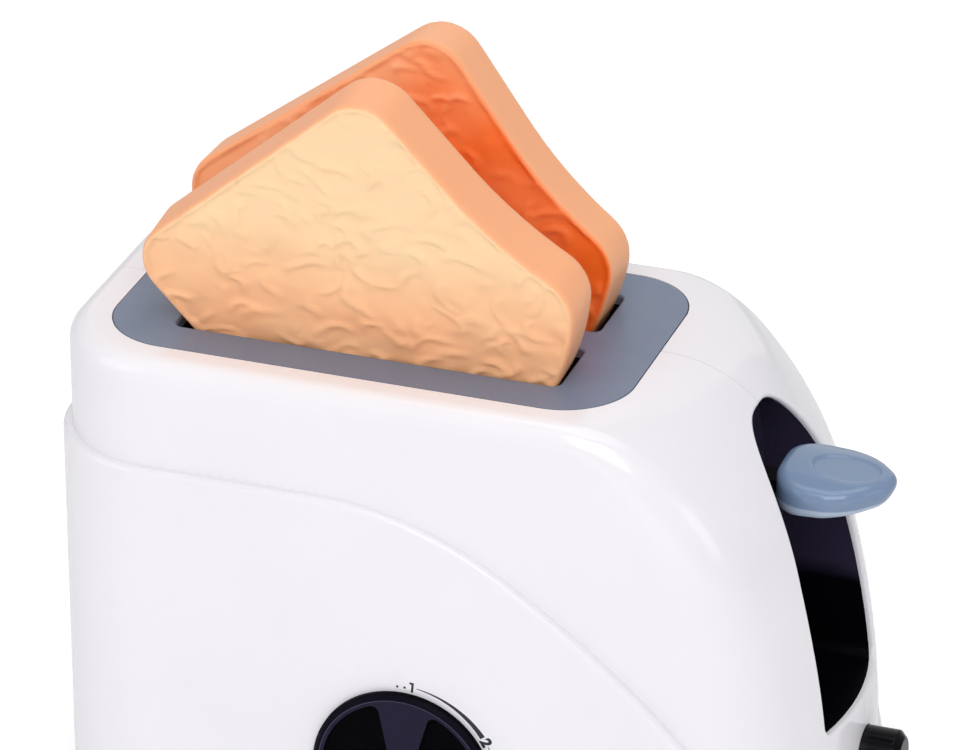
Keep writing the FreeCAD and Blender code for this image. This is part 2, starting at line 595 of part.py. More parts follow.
# ---- Bread cage and carriage ----------------------------------------------------------
def bread_cage():
    solids = []
    holes = []
    for side in (-1, 1):
        y = side * SLOT_Y
        solids.append(rounded_plate(INSERT_X, y, SLOT_LENGTH + 2 * CAGE_WALL, SLOT_WIDTH + 2 * CAGE_WALL,
                                    SLOT_RADIUS + CAGE_WALL, CAGE_BOTTOM, INSERT_UNDER))
        holes.append(rounded_plate(INSERT_X, y, SLOT_LENGTH, SLOT_WIDTH, SLOT_RADIUS,
                                   CAGE_BOTTOM - 1, INSERT_UNDER + 1))
        holes.append(box(CAGE_LEFT - 1, CAGE_RIGHT + 1, y - SLIT_WIDTH / 2, y + SLIT_WIDTH / 2,
                         CAGE_BOTTOM - 1, TRAY_TOP + 4))
        for end in (-1, 1):
            x1 = INSERT_X + end * (SLOT_LENGTH / 2 + CAGE_WALL - 0.5)
            x2 = INSERT_X + end * (INSERT_LENGTH / 2 - 1.0)
            solids.append(box(min(x1, x2), max(x1, x2), y - EAR_WIDTH / 2, y + EAR_WIDTH / 2,
                              LEDGE_UNDER - 2.4, LEDGE_UNDER))
    for k in range(CAGE_WEBS):
        x = INSERT_X + (k - (CAGE_WEBS - 1) / 2) * SLOT_LENGTH / CAGE_WEBS
        solids.append(box(x - 0.8, x + 0.8, -SLOT_Y, SLOT_Y, CAGE_BOTTOM, INSERT_UNDER))
    for x, wall in ((LEFT_ROD_X, CAGE_LEFT), (RIGHT_ROD_X, CAGE_RIGHT)):
        inward = wall + (0.5 if wall > x else -0.5)
        solids.append(box(min(x, inward), max(x, inward), -6, 6, SHELF_TOP - SHELF_THICKNESS, SHELF_TOP))
        solids.append(post(x, 0, SHELF_TOP - SHELF_THICKNESS, SHELF_TOP, 6))
        holes.append(post(x, 0, SHELF_TOP - SHELF_THICKNESS - 1, SHELF_TOP - 0.8, ROD_RADIUS + SLIDE_FIT))
    holes += [post(x, y, LEDGE_UNDER - 4, LEDGE_UNDER + 1, SCREW_RADIUS + 0.3)
              for x, y in cage_screw_places()]
    return joined(solids).cut(holes)


def guide_rod(x):
    return post(x, 0, ROD_BOTTOM + 0.1, SHELF_TOP - 0.9, ROD_RADIUS)


def return_spring(x):
    low = SOCKET_TOP + SPRING_WIRE + 0.1
    high = SLIDER_UNDER - SPRING_WIRE - 0.1
    coil = coil_spring(SPRING_RADIUS, SPRING_WIRE, SPRING_TURNS, high - low)
    coil.translate(V(x, 0, low))
    return coil


def bread_carriage():
    solids = []
    for side in (-1, 1):
        y = side * SLOT_Y
        tray = rounded_plate(INSERT_X, y, TRAY_LENGTH, TRAY_WIDTH, 2.0, TRAY_UNDER, TRAY_TOP)
        for end in (-1, 1):
            tray = tray.cut(rounded_plate(INSERT_X + end * TRAY_LENGTH / 4, y, TRAY_LENGTH / 2 - 9,
                                          TRAY_WIDTH / 3, 2.0, TRAY_UNDER - 1, TRAY_TOP + 1))
        solids.append(tray)
        solids.append(box(LEFT_ROD_X, RIGHT_ROD_X, y - 3, y + 3, TRAY_UNDER, TRAY_TOP).cut(
            box(INSERT_X - TRAY_LENGTH / 2 + 1, INSERT_X + TRAY_LENGTH / 2 - 1,
                -BODY_WIDTH, BODY_WIDTH, 0, BODY_HEIGHT)))
    for x in (LEFT_ROD_X, RIGHT_ROD_X):
        solids.append(box(x - 2, x + 2, -SLOT_Y - 3, SLOT_Y + 3, TRAY_UNDER, TRAY_TOP + 2.5))
        solids.append(post(x, 0, SLIDER_UNDER, SLIDER_TOP, SLIDER_RADIUS))
    half = ARM_THICKNESS / 2
    x = RIGHT_ROD_X
    arm = side_prism([(x, TRAY_UNDER - ARM_DROP), (TAIL_RIGHT, TRAY_UNDER - ARM_DROP),
                      (PLATE_BACK - 3, LEVER_BOTTOM - 4),
                      (BAY_BACK + 1, LEVER_BOTTOM + 1.5), (LEVER_ROOT + 9, LEVER_BOTTOM + 1.5),
                      (LEVER_ROOT + 9, LEVER_BOTTOM + 4.5), (BAY_BACK - 4, LEVER_BOTTOM + 4.5),
                      (x, SLIDER_TOP - 1)], -half, half)
    tail_half = LATCH_THICKNESS / 2
    tail = side_prism([(TAIL_RIGHT - 3, TRAY_UNDER), (TAIL_RIGHT, TRAY_UNDER), (TAIL_RIGHT, CATCH_TOP),
                       (TAIL_RIGHT + CATCH_GRIP + 0.4, CATCH_TOP),
                       (TAIL_RIGHT + CATCH_GRIP + 0.4, CATCH_TOP - CATCH_THICKNESS / 2),
                       (TAIL_RIGHT, CATCH_TOP - CATCH_THICKNESS),
                       (TAIL_RIGHT - 3, CATCH_TOP - CATCH_THICKNESS)],
                      -tail_half, tail_half)
    holes = [post(x, 0, 0, BODY_HEIGHT, ROD_RADIUS + SLIDE_FIT) for x in (LEFT_ROD_X, RIGHT_ROD_X)]
    holes.append(post(LEVER_ROOT + 5, 0, LEVER_BOTTOM, LEVER_BOTTOM + 10, SCREW_RADIUS + SCREW_FIT))
    return joined(solids + [arm, tail]).cut(holes)


# ---- Lever ----------------------------------------------------------------------------
def lever_outline():
    """Right half of the paddle seen from above, root to tip: root corner, side, shoulder, taper."""
    x, half = LEVER_ROOT, LEVER_HALF_WIDTH
    k = LEVER_ROOT_ROUND * (1 - math.sqrt(0.5))
    return [[(x, half - LEVER_ROOT_ROUND), (x + k, half - k), (x + LEVER_ROOT_ROUND, half)],
            [(x + LEVER_ROOT_ROUND, half), (x + 14.0, half)],
            [(x + 14.0, half), (x + 19.6, half - 2.2), (x + 24.0, half - 6.0)],
            [(x + 24.0, half - 6.0), (x + 26.0, half - 8.3)]]


def lever_handle():
    """Thumb paddle: plan outline, crowned top, under side that rises to the tip, oval dish."""
    x, half = LEVER_ROOT, LEVER_HALF_WIDTH
    low, high = LEVER_BOTTOM - 5, LEVER_EDGE_TOP + 5
    tip = x + LEVER_LENGTH
    edges = []
    for side in (1, -1):
        for stretch in lever_outline():
            points = [V(px, side * py, low) for px, py in stretch]
            edges.append(arc(*points) if len(points) == 3 else Part.makeLine(*points))
    end_x, end_y = lever_outline()[-1][-1]
    edges.append(arc(V(end_x, end_y, low), V(tip, 0, low), V(end_x, -end_y, low)))
    root_y = half - LEVER_ROOT_ROUND
    edges.append(Part.makeLine(V(x, root_y, low), V(x, -root_y, low)))
    plan = Part.Face(Part.Wire(Part.__sortEdges__(edges))).extrude(V(0, 0, high - low))
    crown_radius = (half ** 2 + LEVER_CROWN ** 2) / (2 * LEVER_CROWN)
    top = LEVER_EDGE_TOP + LEVER_CROWN
    crown = long_pin(0, top - crown_radius, x - 5, tip + 5, crown_radius)
    rise = 5 * LEVER_TIP_LIFT / LEVER_LENGTH
    under = side_prism([(x - 5, low - 5), (tip + 5, low - 5),
                        (tip + 5, LEVER_BOTTOM + LEVER_TIP_LIFT + rise),
                        (x - 5, LEVER_BOTTOM - rise)], -half - 5, half + 5)
    body = plan.common(crown).cut(under)
    upper = [e for e in body.Edges if not is_upright(e) and e.BoundBox.ZMin > LEVER_EDGE_TOP - 0.6]
    body = body.makeFillet(LEVER_TOP_ROUND, upper)
    lower = [e for e in body.Edges if not is_upright(e) and e.BoundBox.ZMax < LEVER_BOTTOM + 3]
    body = body.makeFillet(LEVER_UNDER_ROUND, lower)
    oval = Part.Ellipse(V(x + 7.5 + DISH_LENGTH / 2, 0, top - DISH_DEPTH), DISH_LENGTH / 2, DISH_WIDTH / 2)
    dish = Part.Face(Part.Wire(oval.toShape())).extrude(V(0, 0, 10))
    half_arm = ARM_THICKNESS / 2 + SLIDE_FIT
    socket = box(x - 1, x + 9.1, -half_arm, half_arm, LEVER_BOTTOM + 1.45, LEVER_BOTTOM + 4.55)
    screw_hole = post(x + 5, 0, LEVER_BOTTOM - 1, LEVER_BOTTOM + 2, LEVER_SCREW_HEAD + SLIDE_FIT)
    return body.cut([dish, socket, screw_hole])


def lever_screw():
    x = LEVER_ROOT + 5
    head = post(x, 0, LEVER_BOTTOM + 0.5, LEVER_BOTTOM + 1.45, LEVER_SCREW_HEAD)
    return head.fuse(post(x, 0, LEVER_BOTTOM + 1.4, LEVER_BOTTOM + 4.4, SCREW_RADIUS))


# ---- Latch and release button ---------------------------------------------------------
def latch_hook():
    x, z, bar = LATCH_X, LATCH_PIN_HEIGHT, LATCH_BAR / 2
    tip = TAIL_RIGHT + 0.4
    outline = [(x - bar, NOSE_UNDER + CATCH_THICKNESS + 1.4), (tip, NOSE_UNDER + CATCH_THICKNESS),
               (tip, NOSE_UNDER), (x + bar, NOSE_UNDER), (x + bar, BUTTON_HEIGHT + LATCH_OVER_BUTTON),
               (x - bar, BUTTON_HEIGHT + LATCH_OVER_BUTTON)]
    half = LATCH_THICKNESS / 2
    hook = side_prism(outline, -half, half).fuse(cross_pin(x, z, -half, half, LATCH_PIN_RADIUS + 2.2))
    hook = hook.cut(box(x - 5, x + 5, half - 1.9, half + 1, z - 3.5, z + 3.5))
    return hook.cut(cross_pin(x, z, -10, 10, LATCH_PIN_RADIUS + SLIDE_FIT))


def latch_pin():
    half = LATCH_THICKNESS / 2 + 0.4 + 2.2
    return cross_pin(LATCH_X, LATCH_PIN_HEIGHT, -half - 0.6, half + 0.6, LATCH_PIN_RADIUS)


def latch_spring():
    """Coils round the pin, with a leg up behind the latch and a leg over to the lever bay's plate."""
    radius = LATCH_BAR / 2 + LATCH_WIRE + 0.05
    start = math.radians(105)
    turns = 2 + (math.pi - start) / (2 * math.pi)
    height = LATCH_PITCH * turns
    coil = coil_spring(radius, LATCH_WIRE, turns, height)
    coil.rotate(V(0, 0, 0), V(0, 0, 1), math.degrees(start))
    from_coil = V(radius * math.cos(start), radius * math.sin(start), 0)
    to_plate = V(math.sin(start), -math.cos(start), 0)
    reach = (LATCH_TO_BAY - SEAT_GAP - from_coil.x) / to_plate.x
    legs = [Part.makeCylinder(LATCH_WIRE * 0.8, reach, from_coil - to_plate * 0.2, to_plate),
            Part.makeCylinder(LATCH_WIRE * 0.8, 8, V(-radius, 0.2, height), V(0, -1, 0))]
    spring = joined([coil] + legs)
    spring.rotate(V(0, 0, 0), V(1, 0, 0), -90)
    spring.translate(V(LATCH_X, LATCH_THICKNESS / 2 - 1.5, LATCH_PIN_HEIGHT))
    return spring


def release_button():
    head_end = TIP + BUTTON_REACH
    shoulder = TIP - WALL - BUTTON_SKIRT
    head = long_pin(0, BUTTON_HEIGHT, shoulder, head_end, BUTTON_RADIUS)
    rims = [e for e in head.Edges if e.isClosed() and e.BoundBox.XMin > head_end - 0.1]
    head = head.makeChamfer(BUTTON_CHAMFER, rims)
    rims = [e for e in head.Edges if e.isClosed() and e.BoundBox.XMin > head_end - BUTTON_CHAMFER - 0.1]
    head = head.makeFillet(BUTTON_CHAMFER / 2, rims)
    flange = long_pin(0, BUTTON_HEIGHT, TIP - WALL - BUTTON_TRAVEL - 2.6, TIP - WALL - BUTTON_TRAVEL - 1.0,
                      BUTTON_RADIUS + 1.6)
    touch = LATCH_X + LATCH_BAR / 2 + SEAT_GAP + STEM_RADIUS
    stem = long_pin(0, BUTTON_HEIGHT, touch, shoulder + 1, STEM_RADIUS)
    end = Part.makeSphere(STEM_RADIUS, V(touch, 0, BUTTON_HEIGHT))
    groove = long_pin(0, BUTTON_HEIGHT, PLATE_BACK - 1.5, PLATE_BACK - 0.4, STEM_RADIUS + 1).cut(
        long_pin(0, BUTTON_HEIGHT, PLATE_BACK - 2, PLATE_BACK, STEM_RADIUS - 0.5))
    return joined([head, flange, stem, end]).cut(groove)


def button_clip():
    clip = long_pin(0, BUTTON_HEIGHT, PLATE_BACK - 1.4, PLATE_BACK - 0.5, STEM_RADIUS + 1.6)
    clip = clip.cut(long_pin(0, BUTTON_HEIGHT, PLATE_BACK - 2, PLATE_BACK, STEM_RADIUS - 0.45))
    return clip.cut(box(PLATE_BACK - 2, PLATE_BACK, -STEM_RADIUS * 0.6, STEM_RADIUS * 0.6,
                        BUTTON_HEIGHT - 5, BUTTON_HEIGHT))


def button_spring():
    low = BAY_BACK + 0.8
    high = TIP - WALL - BUTTON_TRAVEL - 2.6 - 1.0
    radius = STEM_RADIUS + 1.4
    wire = 0.35
    coil = coil_spring(radius, wire, BUTTON_SPRING_TURNS, high - low)
    coil.rotate(V(0, 0, 0), V(0, 1, 0), 90)
    coil.translate(V(low, 0, BUTTON_HEIGHT))
    return coil


# ---- Dial and clicker -----------------------------------------------------------------
def dial():
    back, face = DIAL_FACE, DIAL_FACE - DIAL_THICKNESS
    disc = cross_pin(DIAL_X, DIAL_HEIGHT, face, back, DIAL_RADIUS)
    rim = [e for e in disc.Edges if e.isClosed() and e.BoundBox.YMax < face + 0.1]
    disc = disc.makeChamfer(0.8, rim)
    centre = V(DIAL_X, face - 1, DIAL_HEIGHT)
    reach = POCKET_RADIUS * 1.5
    flare = math.radians(SPOKE_FLARE)
    spread = SPOKE_HALF_WAIST + reach * math.tan(flare)
    spoke = side_prism([(-spread, reach), (-SPOKE_HALF_WAIST, 0), (-spread, -reach),
                        (spread, -reach), (SPOKE_HALF_WAIST, 0), (spread, reach)], 0, 1 + POCKET_DEPTH)
    spoke.rotate(V(0, 0, 0), V(0, 1, 0), SPOKE_TURN)
    spoke.translate(centre)
    pocket = cross_pin(DIAL_X, DIAL_HEIGHT, face - 1, face + POCKET_DEPTH, POCKET_RADIUS).cut(spoke)
    for half in pocket.Solids:
        corners = [e for e in half.Edges if abs(e.Vertexes[0].X - e.Vertexes[-1].X) < 1e-6
                   and abs(e.Vertexes[0].Z - e.Vertexes[-1].Z) < 1e-6]
        disc = disc.cut(half.makeFillet(1.8, corners))
    hub = cross_pin(DIAL_X, DIAL_HEIGHT, back - 0.5, -SKIRT_INSIDE + 3.0, HUB_RADIUS)
    bore = cross_pin(DIAL_X, DIAL_HEIGHT, back, -SKIRT_INSIDE + 4.0, SHAFT_RADIUS)
    return joined([disc, hub]).cut(bore)


def clicker_screw_places():
    return [(DIAL_X + side * (CLICKER_HALF + CLICKER_EAR), DIAL_HEIGHT) for side in (-1, 1)]


def clicker_boss(side):
    x = DIAL_X + side * (CLICKER_HALF + CLICKER_EAR)
    return cross_pin(x, DIAL_HEIGHT, -SKIRT_INSIDE - WALL / 3, CLICKER_FRONT, BOSS_RADIUS)


def clicker_case():
    """Cup that holds the ratchet wheel, open towards the back, with two screw ears."""
    x, z, half = DIAL_X, DIAL_HEIGHT, CLICKER_HALF
    cup = box(x - half, x + half, CLICKER_FRONT, CLICKER_BACK, z - half, z + half)
    cup = cup.makeFillet(4, [e for e in cup.Edges if abs(e.Vertexes[0].Y - e.Vertexes[-1].Y) > 1])
    inner = half - CLICKER_WALL
    hollow = box(x - inner, x + inner, CLICKER_FRONT + CLICKER_WALL, CLICKER_BACK + 1, z - inner, z + inner)
    hollow = hollow.makeFillet(2.4, [e for e in hollow.Edges if abs(e.Vertexes[0].Y - e.Vertexes[-1].Y) > 1])
    ears = [cross_pin(ex, ez, CLICKER_FRONT, CLICKER_FRONT + EAR_THICKNESS, EAR_RADIUS)
            for ex, ez in clicker_screw_places()]
    reach = half + CLICKER_EAR
    wings = box(x - reach, x + reach, CLICKER_FRONT, CLICKER_FRONT + EAR_THICKNESS,
                z - EAR_RADIUS, z + EAR_RADIUS)
    wings = wings.cut(box(x - half + 0.5, x + half - 0.5, -BODY_WIDTH, BODY_WIDTH, 0, BODY_HEIGHT))
    holes = [cross_pin(ex, ez, CLICKER_FRONT - 1, CLICKER_FRONT + 4, SCREW_RADIUS + 0.3)
             for ex, ez in clicker_screw_places()]
    return joined([cup, wings] + ears).cut(
        [hollow, cross_pin(x, z, CLICKER_FRONT - 1, CLICKER_FRONT + 3, SHAFT_RADIUS + SLIDE_FIT)] + holes)


def clicker_cover():
    x, z, half = DIAL_X, DIAL_HEIGHT, CLICKER_HALF
    plate = box(x - half, x + half, CLICKER_BACK, CLICKER_BACK + CLICKER_LID, z - half, z + half)
    plate = plate.makeFillet(4, [e for e in plate.Edges if abs(e.Vertexes[0].Y - e.Vertexes[-1].Y) > 1])
    inner = half - CLICKER_WALL - 0.2
    spigot = box(x - inner, x + inner, CLICKER_BACK - 1.2, CLICKER_BACK + 0.5, z - inner, z + inner)
    spigot = spigot.makeFillet(2.2, [e for e in spigot.Edges if abs(e.Vertexes[0].Y - e.Vertexes[-1].Y) > 1])
    return plate.fuse(spigot).removeSplitter().cut(
        cross_pin(x, z, CLICKER_BACK - 2, CLICKER_BACK + 3, SHAFT_RADIUS + SLIDE_FIT))


def dial_shaft():
    return cross_pin(DIAL_X, DIAL_HEIGHT, DIAL_FACE + 0.1, CLICKER_BACK + 1.6, SHAFT_RADIUS)


def ratchet_wheel():
    front = CLICKER_FRONT + 2.2
    points = []
    for k in range(RATCHET_TEETH):
        for step, radius in ((0.0, RATCHET_RADIUS - TOOTH_DEPTH), (0.5, RATCHET_RADIUS)):
            a = 2 * math.pi * (k + step) / RATCHET_TEETH
            points.append((DIAL_X + radius * math.sin(a), DIAL_HEIGHT + radius * math.cos(a)))
    wheel = side_prism(points, front, front + 3.5)
    hub = cross_pin(DIAL_X, DIAL_HEIGHT, front, CLICKER_BACK - 1.5, SHAFT_RADIUS + 2)
    return joined([wheel, hub]).cut(cross_pin(DIAL_X, DIAL_HEIGHT, front - 1, CLICKER_BACK, SHAFT_RADIUS))


def click_spring():
    """Leaf along the top of the case; its bump looks down at the ratchet teeth."""
    x, half = DIAL_X, CLICKER_HALF - 1.6
    top = DIAL_HEIGHT + half
    low = DIAL_HEIGHT + RATCHET_RADIUS + 0.25
    front = CLICKER_FRONT + 2.2
    ends = [V(x - half + 2.6, front, top), V(x - 3.0, front, top), V(x, front, low), V(x + 3.0, front, top),
            V(x + half - 2.6, front, top)]
    line = [V(p.x, p.y, p.z - (0 if p.z < top - 0.1 else 0.6)) for p in ends]
    outline = ends[:2] + [V(x, front, low + 0.6)] + ends[3:] + line[::-1]
    face = Part.Face(Part.makePolygon(outline + outline[:1]))
    return face.extrude(V(0, 3.5, 0))


# ---- Toast ----------------------------------------------------------------------------
def toast_outline():
    """Right half of a slice from the middle of its bottom edge to its crown: arcs and lines."""
    half = (SLOT_LENGTH - TOAST_TO_SLOT) / 2
    b, r, w, lr, lobe_y, crown = (TOAST_SHAPE[k] * half for k in
                                  ("bottom", "corner", "waist", "lobe", "lobe_height", "crown"))
    lobe_x = half - lr
    dx, dy = b - lobe_x, lobe_y - w
    hollow = (dx * dx + dy * dy - lr * lr) / (2 * (lr - dx))
    crown_y = lobe_y - math.sqrt((crown - lr) ** 2 - lobe_x ** 2)
    to_lobe = math.atan2(dy, -(dx + hollow))
    to_crown = math.atan2(lobe_y - crown_y, lobe_x)

    def at(cx, cy, radius, angle):
        return (cx + radius * math.cos(angle), cy + radius * math.sin(angle))

    half_pi = math.pi / 2
    return {
        "corner": [at(b - r, r, r, a) for a in (-half_pi, -half_pi / 2, 0)],
        "hollow": [at(b + hollow, w, hollow, a) for a in (math.pi, (math.pi + to_lobe) / 2, to_lobe)],
        "lobe": [at(lobe_x, lobe_y, lr, a) for a in
                 (to_lobe - math.pi, (to_lobe - math.pi + to_crown) / 2, to_crown)],
        "crown": [at(0, crown_y, crown, a) for a in (to_crown, half_pi, math.pi - to_crown)],
    }


def toast(tilt, lean, side, gap):
    """A slice standing on its crown in a slot, turned by tilt in its own plane and leaning outwards.

    The front one (side -1) touches the slot's end near the tip, the rear one the other end.
    """
    turn = math.radians(tilt)
    c, s = math.cos(turn), math.sin(turn)

    def place(point, mirror=1):
        x, y = point[0] * mirror, point[1]
        return V(x * c + y * s, 0, x * s - y * c)

    parts = toast_outline()
    edges = []
    for mirror in (1, -1):
        corner, hollow, lobe = ([place(p, mirror) for p in parts[k]] for k in ("corner", "hollow", "lobe"))
        edges += [Part.makeLine(place((0, 0)), corner[0]), arc(*corner), Part.makeLine(corner[2], hollow[0]),
                  arc(*hollow), arc(*lobe)]
    edges.append(arc(*[place(p) for p in parts["crown"]]))
    face = Part.Face(Part.Wire(Part.__sortEdges__(edges)))
    face.translate(V(0, 0, TRAY_TOP + gap - face.BoundBox.ZMin))
    in_slot = face.common(box(-BODY_LENGTH, BODY_LENGTH, -1, 1, INSERT_UNDER, BODY_HEIGHT)).BoundBox
    if side < 0:
        x = SLOT_RIGHT - TOAST_END_GAP - in_slot.XMax
    else:
        x = SLOT_LEFT + TOAST_END_GAP - in_slot.XMin
    outer = side * (SLOT_Y + SLOT_WIDTH / 2 - TOAST_SIDE_GAP)
    face.translate(V(x, min(outer, outer - side * TOAST_THICKNESS), 0))
    slab = face.extrude(V(0, TOAST_THICKNESS, 0))
    rims = [e for e in slab.Edges if abs(e.Vertexes[0].Y - e.Vertexes[-1].Y) < 1e-6]
    slab = slab.makeFillet(TOAST_EDGE, rims)
    slab.rotate(V(0, outer, BODY_HEIGHT), V(1, 0, 0), -side * lean)
    return slab


# ---- Build ----------------------------------------------------------------------------
sheet = FreeCAD.newDocument("toaster")
shell = whole_shell()
shell_inside = housing_form(-WALL - BAY_SEAT_GAP)
screws = {
    "case_screws": [screw(V(x, CASE_SCREW_REACH, z), V(0, -1, 0), 2 * CASE_SCREW_REACH)
                    for x, z in CASE_SCREWS],
    "base_screws": [screw(V(x, s * y, 2.2), V(0, 0, 1), 9.0) for x, y in BASE_SCREWS for s in (-1, 1)],
    "cage_screws": [screw(V(x, y, LEDGE_UNDER - 2.4), V(0, 0, 1), 6.0) for x, y in cage_screw_places()],
    "bay_screws": [screw(V(x, y, CUP_TOP + 2.4), V(0, 0, -1), 5.5) for x, y in bay_screw_places()],
    "clicker_screws": [screw(V(x, CLICKER_FRONT + EAR_THICKNESS, z), V(0, -1, 0), 5.0)
                       for x, z in clicker_screw_places()],
}
nodes = {
    "front_shell": front_shell(shell),
    "rear_shell": half_shell(shell, 1),
    "top_insert": top_insert(),
    "base_plate": base_plate(),
    "lever_bay": lever_bay(shell_inside),
    "bread_cage": bread_cage(),
    "left_guide_rod": guide_rod(LEFT_ROD_X),
    "right_guide_rod": guide_rod(RIGHT_ROD_X),
    "left_return_spring": return_spring(LEFT_ROD_X),
    "right_return_spring": return_spring(RIGHT_ROD_X),
    "bread_carriage": bread_carriage(),
    "lever_handle": lever_handle(),
    "lever_screw": lever_screw(),
    "latch_hook": latch_hook(),
    "latch_pin": latch_pin(),
    "latch_spring": latch_spring(),
    "release_button": release_button(),
    "button_clip": button_clip(),
    "button_spring": button_spring(),
    "dial": dial(),
    "dial_shaft": dial_shaft(),
    "ratchet_wheel": ratchet_wheel(),
    "click_spring": click_spring(),
    "clicker_case": clicker_case(),
    "clicker_cover": clicker_cover(),
    "toast_front": toast(FRONT_TILT, FRONT_LEAN, -1, FRONT_TOAST_GAP),
    "toast_rear": toast(REAR_TILT, REAR_LEAN, 1, REAR_TOAST_GAP),
}
nodes.update({name: Part.makeCompound(group) for name, group in screws.items()})

os.makedirs("parts", exist_ok=True)
for name, shape in nodes.items():
    shape.exportStep("parts/" + name + ".step")
    print(f"{name:22s} solids {len(shape.Solids)}  faces {len(shape.Faces):3d}  valid {shape.isValid()}"
          f"  volume {shape.Volume / 1000:8.3f} cm3")
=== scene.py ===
import json
import math

import bmesh
import bpy
from mathutils import Matrix, Vector, noise


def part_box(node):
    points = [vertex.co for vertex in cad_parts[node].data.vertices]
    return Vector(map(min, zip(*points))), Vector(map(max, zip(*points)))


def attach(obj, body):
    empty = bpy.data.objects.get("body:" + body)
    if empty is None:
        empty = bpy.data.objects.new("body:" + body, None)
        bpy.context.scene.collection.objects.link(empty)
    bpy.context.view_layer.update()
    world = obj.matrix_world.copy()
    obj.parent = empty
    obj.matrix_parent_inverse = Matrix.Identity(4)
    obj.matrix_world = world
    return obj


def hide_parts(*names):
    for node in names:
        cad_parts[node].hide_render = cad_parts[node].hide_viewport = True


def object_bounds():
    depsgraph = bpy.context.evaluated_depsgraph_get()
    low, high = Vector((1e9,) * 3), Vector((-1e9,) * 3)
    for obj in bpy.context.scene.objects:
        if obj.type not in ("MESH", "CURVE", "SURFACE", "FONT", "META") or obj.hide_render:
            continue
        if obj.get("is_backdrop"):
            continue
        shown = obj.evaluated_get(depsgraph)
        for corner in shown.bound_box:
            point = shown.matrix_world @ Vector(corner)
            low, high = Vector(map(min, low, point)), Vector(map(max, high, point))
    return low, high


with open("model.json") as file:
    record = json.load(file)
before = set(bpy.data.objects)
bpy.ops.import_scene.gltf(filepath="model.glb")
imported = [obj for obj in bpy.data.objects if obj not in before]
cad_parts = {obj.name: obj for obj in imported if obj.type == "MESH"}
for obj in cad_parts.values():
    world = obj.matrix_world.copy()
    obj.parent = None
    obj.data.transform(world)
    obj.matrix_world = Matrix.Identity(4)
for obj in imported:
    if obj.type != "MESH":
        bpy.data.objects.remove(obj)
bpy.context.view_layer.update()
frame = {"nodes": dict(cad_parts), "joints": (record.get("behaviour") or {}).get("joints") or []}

# ---- Camera ---------------------------------------------------------------------------
# A long lens from the dial side and a little above, turned towards the lever end.
# The picture is 972 pixels wide.
SENSOR_WIDTH = 36.0
LENS_PIXELS = 6000.0
PICTURE_WIDTH = 972.0
CAMERA_AZIMUTH = math.radians(19.3357)
CAMERA_ELEVATION = math.radians(27.2731)
CAMERA_DISTANCE = 1.39641
CAMERA_TARGET = Vector((0.0, -0.0002, 0.1147))

view_direction = Vector((math.sin(CAMERA_AZIMUTH) * math.cos(CAMERA_ELEVATION),
                         -math.cos(CAMERA_AZIMUTH) * math.cos(CAMERA_ELEVATION),
                         math.sin(CAMERA_ELEVATION)))
camera = bpy.data.objects.new("camera", bpy.data.cameras.new("camera"))
camera.data.sensor_width = SENSOR_WIDTH
camera.data.lens = SENSOR_WIDTH * LENS_PIXELS / PICTURE_WIDTH
camera.data.clip_end = 20.0
camera.location = CAMERA_TARGET + view_direction * CAMERA_DISTANCE
camera.rotation_euler = view_direction.to_track_quat("Z", "Y").to_euler()
bpy.context.scene.collection.objects.link(camera)
bpy.context.scene.camera = camera
bpy.context.scene.view_settings.view_transform = "Standard"

# ---- Studio ---------------------------------------------------------------------------
# A pale sweep of card under and behind the toy, lit by soft boxes and the room.
FLOOR_SIZE = 6.0
FLOOR_HEX = "F6F6F7"
FLOOR_LIFT = (0.25, 0.6)     # near and far, seen by the camera only, so that the card reads white
FLOOR_NEAR, FLOOR_FAR = 0.4, 1.8
ROOM_STRENGTH = 0.46
AIM = Vector((0, 0, 0.1))
LAMPS = {  # name: place, size, power, colour
    "key": ((0.3, -1.0, 0.95), 0.9, 7.6, (1.0, 0.99, 1.0)),
    "fill": ((-0.9, -0.75, 0.6), 0.8, 2.3, (0.98, 0.98, 1.0)),
    "window": ((1.35, -0.44, 0.42), 0.4, 0.75, (1.0, 1.0, 1.0)),
    "top": ((0.1, 0.1, 1.3), 0.9, 3.6, (1.0, 1.0, 1.0)),
    "back": ((-0.2, 1.2, 0.7), 1.2, 1.9, (1.0, 1.0, 1.0)),
}


def linear(hex_colour):
    """sRGB hex to linear RGBA."""
    parts = [int(hex_colour[k:k + 2], 16) / 255 for k in (0, 2, 4)]
    return tuple(c / 12.92 if c <= 0.04045 else ((c + 0.055) / 1.055) ** 2.4 for c in parts) + (1.0,)


def node(tree, kind, settings=None, inputs=None, links=None):
    """Adds one shader node: settings are its properties, inputs its values, links its sources."""
    made = tree.nodes.new("ShaderNode" + kind)
    for name, value in (settings or {}).items():
        setattr(made, name, value)
    for name, value in (inputs or {}).items():
        made.inputs[name].default_value = value
    for name, source in (links or {}).items():
        tree.links.new(source, made.inputs[name])
    return made


def new_material(name, **values):
    """A node material with its tree and principled shader; values are set on the shader's sockets."""
    material = bpy.data.materials.new(name)
    material.use_nodes = True
    tree = material.node_tree
    tree.nodes.clear()
    shader = node(tree, "BsdfPrincipled", inputs={k.replace("_", " "): v for k, v in values.items()})
    node(tree, "OutputMaterial", links={"Surface": shader.outputs["BSDF"]})
    return material, tree, shader


def new_piece(name, form, material):
    """Makes an object at the origin from a finished bmesh."""
    mesh = bpy.data.meshes.new(name)
    form.to_mesh(mesh)
    form.free()
    piece = bpy.data.objects.new(name, mesh)
    bpy.context.scene.collection.objects.link(piece)
    mesh.materials.append(material)
    return piece


